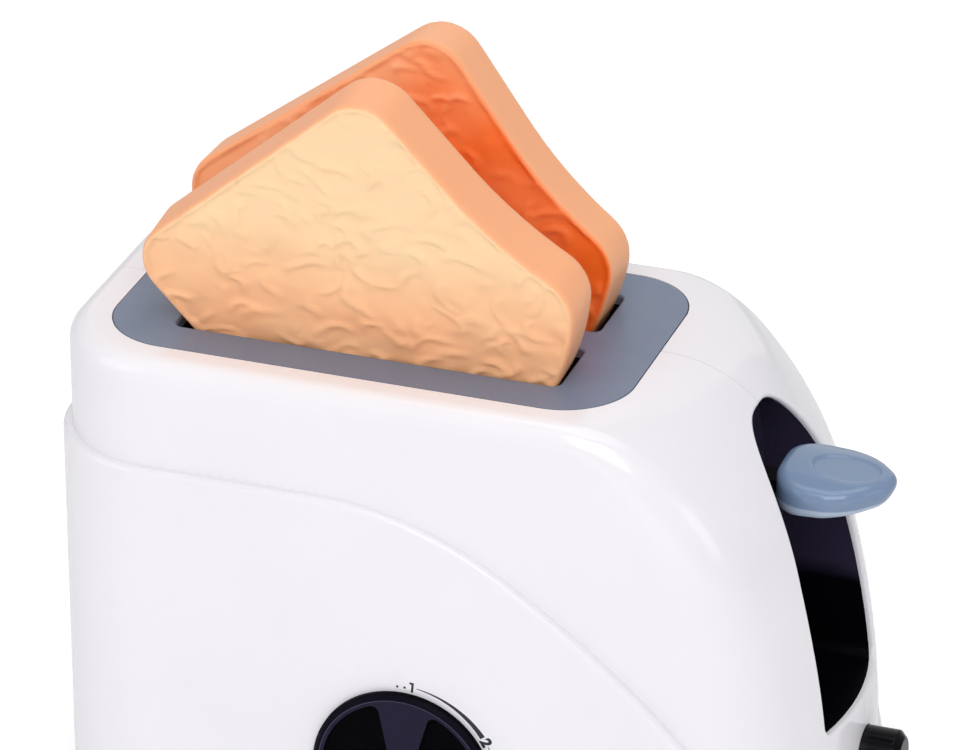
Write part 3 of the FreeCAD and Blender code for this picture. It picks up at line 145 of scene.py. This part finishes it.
sweep = bmesh.new()
bmesh.ops.create_grid(sweep, x_segments=1, y_segments=1, size=FLOOR_SIZE / 2)
card, tree, shader = new_material("pale_card", Base_Color=linear(FLOOR_HEX), Roughness=0.9,
                                  Specular_IOR_Level=0.1, Emission_Color=(1, 1, 1, 1))
rays = node(tree, "LightPath")
seen = node(tree, "Math", {"operation": "MAXIMUM"},
            links={0: rays.outputs["Is Camera Ray"], 1: rays.outputs["Is Transmission Ray"]})
place = node(tree, "TexCoord")
away = node(tree, "VectorMath", {"operation": "LENGTH"}, links={0: place.outputs["Object"]})
lift = node(tree, "MapRange", inputs={"From Min": FLOOR_NEAR, "From Max": FLOOR_FAR, "To Min": FLOOR_LIFT[0],
                                      "To Max": FLOOR_LIFT[1]}, links={"Value": away.outputs["Value"]})
lifted = node(tree, "Math", {"operation": "MULTIPLY"}, links={0: seen.outputs[0], 1: lift.outputs["Result"]})
tree.links.new(lifted.outputs[0], shader.inputs["Emission Strength"])
floor = new_piece("floor", sweep, card)
floor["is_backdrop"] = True

world = bpy.data.worlds.new("room")
world.use_nodes = True
bpy.context.scene.world = world
room = world.node_tree
room.nodes.clear()
rays = node(room, "LightPath")
seen = node(room, "Math", {"operation": "MAXIMUM"},
            links={0: rays.outputs["Is Camera Ray"], 1: rays.outputs["Is Transmission Ray"]})
lit = node(room, "Background", inputs={"Color": (1, 1, 1, 1), "Strength": ROOM_STRENGTH})
shown = node(room, "Background", inputs={"Color": (1, 1, 1, 1), "Strength": 1.0})
both = node(room, "MixShader", links={0: seen.outputs[0], 1: lit.outputs[0], 2: shown.outputs[0]})
node(room, "OutputWorld", links={"Surface": both.outputs[0]})

for name, (place, size, power, colour) in LAMPS.items():
    lamp = bpy.data.lights.new(name, "AREA")
    lamp.shape = "SQUARE"
    lamp.size = size
    lamp.energy = power
    lamp.color = colour
    holder = bpy.data.objects.new(name, lamp)
    holder.location = place
    holder.rotation_euler = (Vector(place) - AIM).to_track_quat("Z", "Y").to_euler()
    bpy.context.scene.collection.objects.link(holder)

# ---- Housing --------------------------------------------------------------------------
# Two half shells of white ABS, moulded with the raised skirt in one piece and closed by
# screws from inside. A polished mould leaves a high gloss with a faint, broad orange peel.
WHITE_HEX = ("F1EFF3", "ECEAEF")
WHITE_ROUGHNESS = (0.07, 0.13)
WHITE_PEEL_MM = 3.0


def mottle(tree, size_mm, detail, place):
    """Soft noise whose blotches are about size_mm across."""
    return node(tree, "TexNoise", inputs={"Scale": 1000 / size_mm, "Detail": detail, "Roughness": 0.5},
                links={"Vector": place.outputs["Object"]}).outputs["Fac"]


def moulded(name, shades, roughness, grain_mm, grain, cloud_mm=28.0, **values):
    """Injection moulded plastic.

    The two shades and the two roughnesses drift over cloud_mm, as flow and handling leave them,
    and grain is the strength of the mould's own texture, grain_mm across.
    """
    material, tree, shader = new_material(name, IOR=1.5, **values)
    place = node(tree, "TexCoord")
    clouds = mottle(tree, cloud_mm, 2.0, place)
    tint = node(tree, "Mix", {"data_type": "RGBA"}, links={0: clouds})
    tint.inputs["A"].default_value = linear(shades[0])
    tint.inputs["B"].default_value = linear(shades[1])
    tree.links.new(tint.outputs["Result"], shader.inputs["Base Color"])
    rubbed = node(tree, "MapRange", inputs={"From Min": 0.3, "From Max": 0.7, "To Min": roughness[0],
                                            "To Max": roughness[1]},
                  links={"Value": mottle(tree, cloud_mm / 5, 4.0, place)})
    tree.links.new(rubbed.outputs["Result"], shader.inputs["Roughness"])
    bump = node(tree, "Bump", inputs={"Strength": grain, "Distance": 0.0001},
                links={"Height": mottle(tree, grain_mm, 2.0, place)})
    tree.links.new(bump.outputs["Normal"], shader.inputs["Normal"])
    return material


def dress(material, *names):
    """Gives CAD nodes this material."""
    for name in names:
        for slot in frame["nodes"][name].material_slots:
            slot.material = material


dress(moulded("white_gloss_abs", WHITE_HEX, WHITE_ROUGHNESS, WHITE_PEEL_MM, 0.05),
      "front_shell", "rear_shell")

# ---- Top insert -----------------------------------------------------------------------
# A separate plate of blue-grey ABS with the two bread slots, held from below by screws
# through the bread cage. Its mould was blasted, which leaves a fine satin grain.
INSERT_HEX = ("758299", "6E7B92")
dress(moulded("satin_grey_abs", INSERT_HEX, (0.34, 0.44), 0.5, 0.1),
      "top_insert")

# ---- Lever ----------------------------------------------------------------------------
# The thumb lever is a crowned paddle of blue-grey ABS with an oval dish, screwed to the
# arm of the bread carriage. It comes from a polished mould and is glossy. Its top falls
# towards the tip, and the tip is drawn in below.
LEVER_HEX = ("7B91AF", "758BA9")
LEVER_VOXEL = 0.00035
LEVER_SOFTENING = 4          # passes that melt the edges, as the polishing does
TIP_DRAW = 0.0046            # the tip's foot lies that far behind its upper edge
TIP_FALL = 0.0018            # from the root to the tip, on top
SIDE_DRAW = 0.1              # share of its width that the foot is narrower by
FOOT_HIGHLIGHT_HEX = "ACBBCF"           # painted highlight: a paler band along the foot of the paddle, where its lower facet catches the light
FOOT_HIGHLIGHT_HEIGHT, FOOT_HIGHLIGHT_BLEND = 0.003, 0.0004


def even_copy(name, voxel):
    """A copy of a CAD node with small, even faces, as a bmesh."""
    form = bmesh.new()
    form.from_mesh(frame["nodes"][name].data)
    bmesh.ops.remove_doubles(form, verts=form.verts, dist=1e-6)
    mesh = bpy.data.meshes.new("rough")
    form.to_mesh(mesh)
    form.free()
    rough = bpy.data.objects.new("rough", mesh)
    bpy.context.scene.collection.objects.link(rough)
    remesh = rough.modifiers.new("even", "REMESH")
    remesh.mode = "VOXEL"
    remesh.voxel_size = voxel
    even = bpy.data.meshes.new_from_object(rough.evaluated_get(bpy.context.evaluated_depsgraph_get()))
    bpy.data.objects.remove(rough)
    form = bmesh.new()
    form.from_mesh(even)
    bpy.data.meshes.remove(even)
    for polygon in form.faces:
        polygon.smooth = True
    return form


def soften(form, passes):
    """Rounds a form a little, a face's width in each pass."""
    for k in range(passes):
        bmesh.ops.smooth_vert(form, verts=form.verts, factor=0.5, use_axis_x=True, use_axis_y=True,
                              use_axis_z=True)
    form.normal_update()


paddle = even_copy("lever_handle", LEVER_VOXEL)
lever_low, lever_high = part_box("lever_handle")
lever_length, lever_height = lever_high[0] - lever_low[0], lever_high[2] - lever_low[2]
for vert in paddle.verts:
    along = (vert.co.x - lever_low[0]) / lever_length
    depth = (lever_high[2] - vert.co.z) / lever_height
    vert.co.x -= TIP_DRAW * along * depth ** 2
    vert.co.y *= 1 - SIDE_DRAW * depth ** 2
    vert.co.z -= TIP_FALL * (along - 0.5) * (1 - depth)
soften(paddle, LEVER_SOFTENING)
gloss_grey = moulded("gloss_grey_abs", LEVER_HEX, (0.06, 0.1), 2.5, 0.04)
tree = gloss_grey.node_tree
shader = next(n for n in tree.nodes if n.type == "BSDF_PRINCIPLED")
place = node(tree, "TexCoord")
split = node(tree, "SeparateXYZ", links={"Vector": place.outputs["Object"]})
# The paler band along the foot is a painted highlight, standing in for light on the paddle's lower facet.
foot = lever_low[2] + FOOT_HIGHLIGHT_HEIGHT
foot_highlight = node(tree, "MapRange", inputs={"From Min": foot, "From Max": foot + FOOT_HIGHLIGHT_BLEND, "To Min": 1.0, "To Max": 0.0},
           links={"Value": split.outputs["Z"]})
mixed = node(tree, "Mix", {"data_type": "RGBA"},
             links={0: foot_highlight.outputs["Result"], "A": shader.inputs["Base Color"].links[0].from_socket})
mixed.inputs["B"].default_value = linear(FOOT_HIGHLIGHT_HEX)
tree.links.new(mixed.outputs["Result"], shader.inputs["Base Color"])
lever_paddle = new_piece("lever_paddle", paddle, gloss_grey)
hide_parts("lever_handle")
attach(lever_paddle, "carriage")

# ---- Lever bay and release button -----------------------------------------------------
# The recess that the lever runs in and the push button below it are violet-black ABS.
# Both have the soft sheen of a half-polished mould.
# The lower half of the recess is painted near black as painted shade.
BAY_HEX = ("352F45", "2F293E")
BAY_SHADE_HEX = "06050A"          # painted shade: the lower half of the recess, painted near black
BAY_SHADE_FULL_BELOW, BAY_SHADE_GONE_ABOVE = 0.069, 0.073
BAY_SHADE_CLOUD = 0.008
BUTTON_HEX = ("08060C", "06050A")

violet_black = moulded("violet_black_abs", BAY_HEX, (0.24, 0.34), 0.8, 0.05, Specular_IOR_Level=0.06)
tree = violet_black.node_tree
shader = next(n for n in tree.nodes if n.type == "BSDF_PRINCIPLED")
place = node(tree, "TexCoord")
# Painted shade: below a wandering height the recess is painted near black.
height = node(tree, "SeparateXYZ", links={"Vector": place.outputs["Object"]})
wander = node(tree, "Math", {"operation": "MULTIPLY_ADD"}, inputs={1: BAY_SHADE_CLOUD},
              links={0: mottle(tree, 14.0, 1.0, place), 2: height.outputs["Z"]})
upper = node(tree, "MapRange", inputs={"From Min": BAY_SHADE_FULL_BELOW, "From Max": BAY_SHADE_GONE_ABOVE},
             links={"Value": wander.outputs[0]})
mixed = node(tree, "Mix", {"data_type": "RGBA"},
             links={0: upper.outputs["Result"], "B": shader.inputs["Base Color"].links[0].from_socket})
mixed.inputs["A"].default_value = linear(BAY_SHADE_HEX)
tree.links.new(mixed.outputs["Result"], shader.inputs["Base Color"])
dress(violet_black, "lever_bay")
dress(moulded("glossy_black_abs", BUTTON_HEX, (0.16, 0.24), 0.8, 0.05, Specular_IOR_Level=0.12),
      "release_button")

# ---- Timer dial -----------------------------------------------------------------------
# A flat knob of the same violet-black ABS with three deep pockets between its spokes. The
# pocket floors and the bevelled rim band are painted darker as painted shade, and a thin
# painted highlight rings the edge between face and rim.
DIAL_HEX = ("282638", "252334")
# painted shade: the pocket floors are painted near black
POCKET_SHADE_HEX = "040306"
# painted shade: the bevelled rim band is painted darker
RIM_SHADE_HEX = "120F1A"
EDGE_HIGHLIGHT_HEX = "504E60"          # painted highlight: a thin light ring on the edge between face and rim
POCKET_SHADE_FROM = 0.0006         # depth below the face at which the painted shade of the pocket floor begins
EDGE_HIGHLIGHT_FROM = 0.02035          # from the axis
RIM_SHADE_FROM = 0.0205
LINE_WIDTH = 0.0002

dial_joint = next(j for j in frame["joints"] if j["name"] == "dial_turn")
dial_centre = Vector(dial_joint["pos_m"])
dial_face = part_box("dial")[0][1]
dial_abs = moulded("dial_abs", DIAL_HEX, (0.36, 0.46), 0.8, 0.05, Specular_IOR_Level=0.02)
tree = dial_abs.node_tree
shader = next(n for n in tree.nodes if n.type == "BSDF_PRINCIPLED")
place = node(tree, "TexCoord")
centred = node(tree, "Mapping", inputs={"Location": (-dial_centre.x, -dial_face, -dial_centre.z)},
               links={"Vector": place.outputs["Object"]})
split = node(tree, "SeparateXYZ", links={"Vector": centred.outputs["Vector"]})
flat = node(tree, "CombineXYZ", links={"X": split.outputs["X"], "Z": split.outputs["Z"]})
reach = node(tree, "VectorMath", {"operation": "LENGTH"}, links={0: flat.outputs["Vector"]})
base = shader.inputs["Base Color"].links[0].from_socket
# Painted highlight on the edge ring, painted shade on the rim band and on the pocket floors.
for value, edge, width, colour in ((reach.outputs["Value"], EDGE_HIGHLIGHT_FROM, LINE_WIDTH / 2, EDGE_HIGHLIGHT_HEX),
                                   (reach.outputs["Value"], RIM_SHADE_FROM, LINE_WIDTH / 2, RIM_SHADE_HEX),
                                   (split.outputs["Y"], POCKET_SHADE_FROM, LINE_WIDTH, POCKET_SHADE_HEX)):
    part = node(tree, "MapRange", inputs={"From Min": edge, "From Max": edge + width}, links={"Value": value})
    mixed = node(tree, "Mix", {"data_type": "RGBA"}, links={0: part.outputs["Result"]})
    tree.links.new(base, mixed.inputs["A"])
    mixed.inputs["B"].default_value = linear(colour)
    base = mixed.outputs["Result"]
tree.links.new(base, shader.inputs["Base Color"])
dress(dial_abs, "dial")

# ---- Dial scale -----------------------------------------------------------------------
# The scale round the dial is pad printed on the front shell: plain numbers, each followed
# by a stroke that grows thicker towards the next, and two dots before the first.
INK_HEX = ("2A2633", "24202D")
INK_THICKNESS = 0.00004
INK_SUNK = 0.00001
SCALE_RADIUS = 0.02375       # middle of the numbers and of the strokes
NUMBER_COUNT = 6
NUMBER_STEP = 53.0           # degrees
FIRST_NUMBER = 5.6
NUMBER_SIZE = 0.0037
NUMBER_WEIGHT = 0.0002
ONE_SIZE = (0.00105, 0.0026)  # the figure 1 is a stem with a flag
ONE_STROKE = 0.00055
STROKE_FROM = 2.4            # after its number, in degrees
STROKE_TO = 49.6
STROKE_THIN = 0.00014
STROKE_THICK = 0.00135
STROKE_STEPS = 30
DOTS = (-3.4, 1.0)
DOTS_INSIDE = 0.0004         # from the middle of the numbers
DOT_RADIUS = 0.0003

ink = moulded("black_pad_ink", INK_HEX, (0.4, 0.5), 0.3, 0.05)
skirt_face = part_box("front_shell")[0][1]
printed = bmesh.new()


def clock(angle, radius=SCALE_RADIUS):
    """Moves a flat form that faces up to its place on the scale, upright at its clock angle."""
    return (Matrix.Translation((dial_centre.x, skirt_face + INK_SUNK, dial_centre.z))
            @ Matrix.Rotation(math.radians(angle), 4, "Y")
            @ Matrix.Translation((0, 0, radius))
            @ Matrix.Rotation(math.radians(90), 4, "X"))


def add_print(flat_mesh, matrix):
    """Adds a flat mesh to the print at its place."""
    flat_mesh.transform(matrix)
    printed.from_mesh(flat_mesh)
    bpy.data.meshes.remove(flat_mesh)


def number_mesh(text):
    """One numeral as a flat mesh about the origin."""
    letter = bpy.data.curves.new("numeral", "FONT")
    letter.body = text
    letter.size = NUMBER_SIZE
    letter.offset = NUMBER_WEIGHT
    letter.align_x = "CENTER"
    letter.align_y = "CENTER"
    holder = bpy.data.objects.new("numeral", letter)
    made = bpy.data.meshes.new_from_object(holder)
    bpy.data.objects.remove(holder)
    bpy.data.curves.remove(letter)
    return made


def one_mesh():
    """The figure 1 as a flat mesh about the origin."""
    width, height = ONE_SIZE
    right, top = ONE_STROKE / 2, height / 2
    form = bmesh.new()
    form.faces.new([form.verts.new((x, y, 0)) for x, y in (
        (right, top), (right - width, top), (right - width, top - ONE_STROKE), (-right, top - ONE_STROKE),
        (-right, -top), (right, -top))])
    made = bpy.data.meshes.new("one")
    form.to_mesh(made)
    form.free()
    return made


def stroke_mesh():
    """A band that follows the scale and thickens along it, about the dial's axis."""
    form = bmesh.new()
    ends = [form.verts.new((0, SCALE_RADIUS + half, 0)) for half in (-STROKE_THIN / 2, STROKE_THIN / 2)]
    edge = form.edges.new(ends)
    sweep_angle = math.radians(STROKE_TO - STROKE_FROM)
    bmesh.ops.spin(form, geom=[edge] + ends, cent=(0, 0, 0), axis=(0, 0, -1), angle=sweep_angle,
                   steps=STROKE_STEPS)
    for vert in form.verts:
        share = math.atan2(vert.co.x, vert.co.y) / sweep_angle
        half = (STROKE_THIN + (STROKE_THICK - STROKE_THIN) * share) / 2
        vert.co *= (SCALE_RADIUS + math.copysign(half, vert.co.length - SCALE_RADIUS)) / vert.co.length
    made = bpy.data.meshes.new("stroke")
    form.to_mesh(made)
    form.free()
    return made


for k in range(NUMBER_COUNT):
    angle = FIRST_NUMBER + k * NUMBER_STEP
    add_print(number_mesh(str(k + 1)) if k else one_mesh(), clock(angle))
    if k < NUMBER_COUNT - 1:
        add_print(stroke_mesh(), clock(angle + STROKE_FROM, 0))
for angle in DOTS:
    dot = bmesh.new()
    bmesh.ops.create_circle(dot, cap_ends=True, segments=16, radius=DOT_RADIUS)
    dot_mesh = bpy.data.meshes.new("dot")
    dot.to_mesh(dot_mesh)
    dot.free()
    add_print(dot_mesh, clock(angle, SCALE_RADIUS - DOTS_INSIDE))
bmesh.ops.remove_doubles(printed, verts=printed.verts, dist=1e-6)
raised = bmesh.ops.extrude_face_region(printed, geom=printed.faces[:])
bmesh.ops.translate(printed, verts=[v for v in raised["geom"] if isinstance(v, bmesh.types.BMVert)],
                    vec=(0, -INK_THICKNESS, 0))
bmesh.ops.recalc_face_normals(printed, faces=printed.faces)
dial_scale = new_piece("dial_scale", printed, ink)
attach(dial_scale, "housing")

# ---- Inner works ----------------------------------------------------------------------
# The bread cage and carriage are matt black polypropylene, the base is light grey, and the
# latch and the clicker are natural nylon, which needs no grease.
dress(moulded("black_matt_pp", ("121016", "0E0C12"), (0.5, 0.62), 0.5, 0.2, Specular_IOR_Level=0.12),
      "bread_cage", "bread_carriage")
dress(moulded("light_grey_pp", ("A9ADB5", "A2A6AE"), (0.45, 0.55), 0.6, 0.2), "base_plate")
dress(moulded("natural_nylon", ("DDD9CB", "D6D1C0"), (0.4, 0.5), 0.8, 0.1, Subsurface_Weight=0.15,
              Subsurface_Radius=(0.002, 0.002, 0.0015)),
      "latch_hook", "ratchet_wheel", "clicker_case", "clicker_cover")

# ---- Steel ----------------------------------------------------------------------------
# Springs, guide rods, pins and screws are drawn steel wire and rod with a bright zinc
# plating, marked along their length by the drawing die.
STEEL_HEX = ("C2C4C8", "B3B5BA")
STEEL_NODES = [name for name in frame["nodes"]
               if name.endswith(("_screws", "_screw", "_spring", "_rod", "_pin", "_shaft", "_clip"))]
dress(moulded("zinc_plated_steel", STEEL_HEX, (0.24, 0.36), 0.25, 0.1, cloud_mm=6.0, Metallic=1.0),
      *STEEL_NODES)

# ---- Toast ----------------------------------------------------------------------------
# Each slice is blown from soft, slightly milky polyethylene. Its two faces have the mould's
# hand-worked relief of bread: broad waves, oval ridges and small dimples. The rim is plain.
# Deeper orange is painted low down as painted shade near the insert, and on the faces that look at each other as
# painted shade and bounced light between the slices.
CRUMB_HEX = "FDD7A8"
CRUST_HEX = "FDB384"
# painted shade: the deeper orange low down near the insert
LOW_SHADE_HEX = "FFB684"
# painted shade and bounced light: the deep orange on the faces that look at each other
BETWEEN_SHADE_HEX = "FF7418"
VOXEL = 0.0007
WAVE_MM, WAVE_DEPTH = 9.0, 0.7
RIDGE_MM, RIDGE_DEPTH = 8.5, 0.75
RIDGE_RADIUS, RIDGE_WIDTH = 0.36, 0.085   # of the ridges, in their spacing
RIDGE_STRETCH = 1.35         # the ridges lie along the slice
RIDGE_LAYERS = 3
RIDGE_TURN = 4.0             # how far the crescents turn from lying arch up, in radians
DIMPLE_MM, DIMPLE_DEPTH = 3.0, 0.18
WARP_MM, WARP = 13.0, 0.45
RELIEF_FLOOR = 0.8           # mm; the relief is cut in from the slice's face, never added
FACE_FROM, FACE_FULL = 0.95, 0.997   # how squarely a point looks out to count as the face
SHADE_LOW, SHADE_HIGH = 0.007, 0.036  # above the insert, where the painted shade low down is full and gone
LOW_SHADE_OUTSIDE = 0.78
BETWEEN_SHADE_TOP, BETWEEN_SHADE_DEEP = 0.46, 0.9    # between the slices, near their tops and lower down
BETWEEN_SHADE_THIN, BETWEEN_SHADE_FULL = -0.058, -0.01  # along the slices, where the painted shade between them sets in
SHADE_CLOUD_MM = 16.0


def step(low, high, value):
    """Goes smoothly from 0 at low to 1 at high."""
    share = min(max((value - low) / (high - low), 0.0), 1.0)
    return share * share * (3 - 2 * share)


def bread_relief(point, seed):
    """How far the relief lies below the face at a place on it; both in millimetres."""
    spot = Vector((point.x, point.z, seed))
    warp = noise.noise_vector(spot / WARP_MM) * WARP
    crescent = 0.0
    for layer in range(RIDGE_LAYERS):
        bent = Vector((point.x / RIDGE_STRETCH, point.z, seed + 50.0 * layer)) / RIDGE_MM + warp
        distances, centres = noise.voronoi(bent)
        ridge = math.exp(-((distances[0] - RIDGE_RADIUS) / RIDGE_WIDTH) ** 2)
        turn = RIDGE_TURN * noise.noise(centres[0])
        off = bent - centres[0]
        side = (off.x * math.sin(turn) + off.y * math.cos(turn)) / RIDGE_RADIUS
        crescent = max(crescent, ridge * step(0.0, 0.9, side))
    height = (WAVE_DEPTH * noise.noise(spot / WAVE_MM) + RIDGE_DEPTH * crescent
              + DIMPLE_DEPTH * noise.noise(spot / DIMPLE_MM))
    return min(height - RELIEF_FLOOR, 0.0)


toast_pe, tree, shader = new_material("polyethylene_painted_shade", IOR=1.5, Subsurface_Weight=0.12,
                                      Subsurface_Radius=(0.006, 0.0025, 0.001), Subsurface_Scale=1.0)
place = node(tree, "TexCoord")
colour = None
# The rim has the crust colour; over it come the painted shade low down and the painted shade between the slices.
for layer, under_hex, over_hex in (("rim", CRUMB_HEX, CRUST_HEX), ("low_shade", None, LOW_SHADE_HEX),
                                   ("between_shade", None, BETWEEN_SHADE_HEX)):
    amount = node(tree, "Attribute", {"attribute_name": layer})
    coloured = node(tree, "Mix", {"data_type": "RGBA"}, links={0: amount.outputs["Fac"]})
    if colour:
        tree.links.new(colour, coloured.inputs["A"])
    else:
        coloured.inputs["A"].default_value = linear(under_hex)
    coloured.inputs["B"].default_value = linear(over_hex)
    colour = coloured.outputs["Result"]
tree.links.new(colour, shader.inputs["Base Color"])
dull = node(tree, "MapRange", inputs={"From Min": 0.3, "From Max": 0.7, "To Min": 0.4, "To Max": 0.52},
            links={"Value": mottle(tree, 7.0, 3.0, place)})
tree.links.new(dull.outputs["Result"], shader.inputs["Roughness"])
grain = node(tree, "Bump", inputs={"Strength": 0.12, "Distance": 0.0001},
             links={"Height": mottle(tree, 0.7, 2.0, place)})
tree.links.new(grain.outputs["Normal"], shader.inputs["Normal"])

insert_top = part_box("top_insert")[1][2]
for side, cad_name, body in ((-1, "toast_front", "front_slice"), (1, "toast_rear", "rear_slice")):
    lift = Vector(next(j for j in frame["joints"] if j["child"] == body)["axis"])
    outward = side * Vector((0, lift.z, -lift.y))
    form = even_copy(cad_name, VOXEL)
    soften(form, 1)
    rimmed, low_shaded, between_shaded = (form.verts.layers.float.new(layer)
                                    for layer in ("rim", "low_shade", "between_shade"))
    moves = []
    for vert in form.verts:
        look = vert.normal.dot(outward)
        face = step(FACE_FROM, FACE_FULL, abs(look))
        spot = vert.co * 1000
        sunk = bread_relief(spot, 100.0 * side + 20.0 * math.copysign(1, look))
        moves.append(vert.normal * (face * sunk / 1000))
        # Painted shade: deeper orange low down near the insert and, as bounced light too, on the faces between the
        # slices.
        cloud = noise.noise(spot / SHADE_CLOUD_MM)
        low = 1 - step(SHADE_LOW, SHADE_HIGH, vert.co.z - insert_top + 0.006 * cloud)
        inside = step(0.3, 0.9, -look)
        vert[low_shaded] = LOW_SHADE_OUTSIDE * low * (1 + 0.3 * cloud)
        deep = 1 - step(SHADE_HIGH, 2 * SHADE_HIGH, vert.co.z - insert_top)
        inside *= 0.5 + 0.5 * step(BETWEEN_SHADE_THIN, BETWEEN_SHADE_FULL, vert.co.x)
        vert[between_shaded] = inside * (BETWEEN_SHADE_TOP + (BETWEEN_SHADE_DEEP - BETWEEN_SHADE_TOP) * deep + 0.15 * cloud)
        vert[rimmed] = 1 - step(0.6, 0.97, abs(look))
    for vert, move in zip(form.verts, moves):
        vert.co += move
    slice_piece = new_piece(body + "_toast", form, toast_pe)
    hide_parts(cad_name)
    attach(slice_piece, body)

low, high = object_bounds()
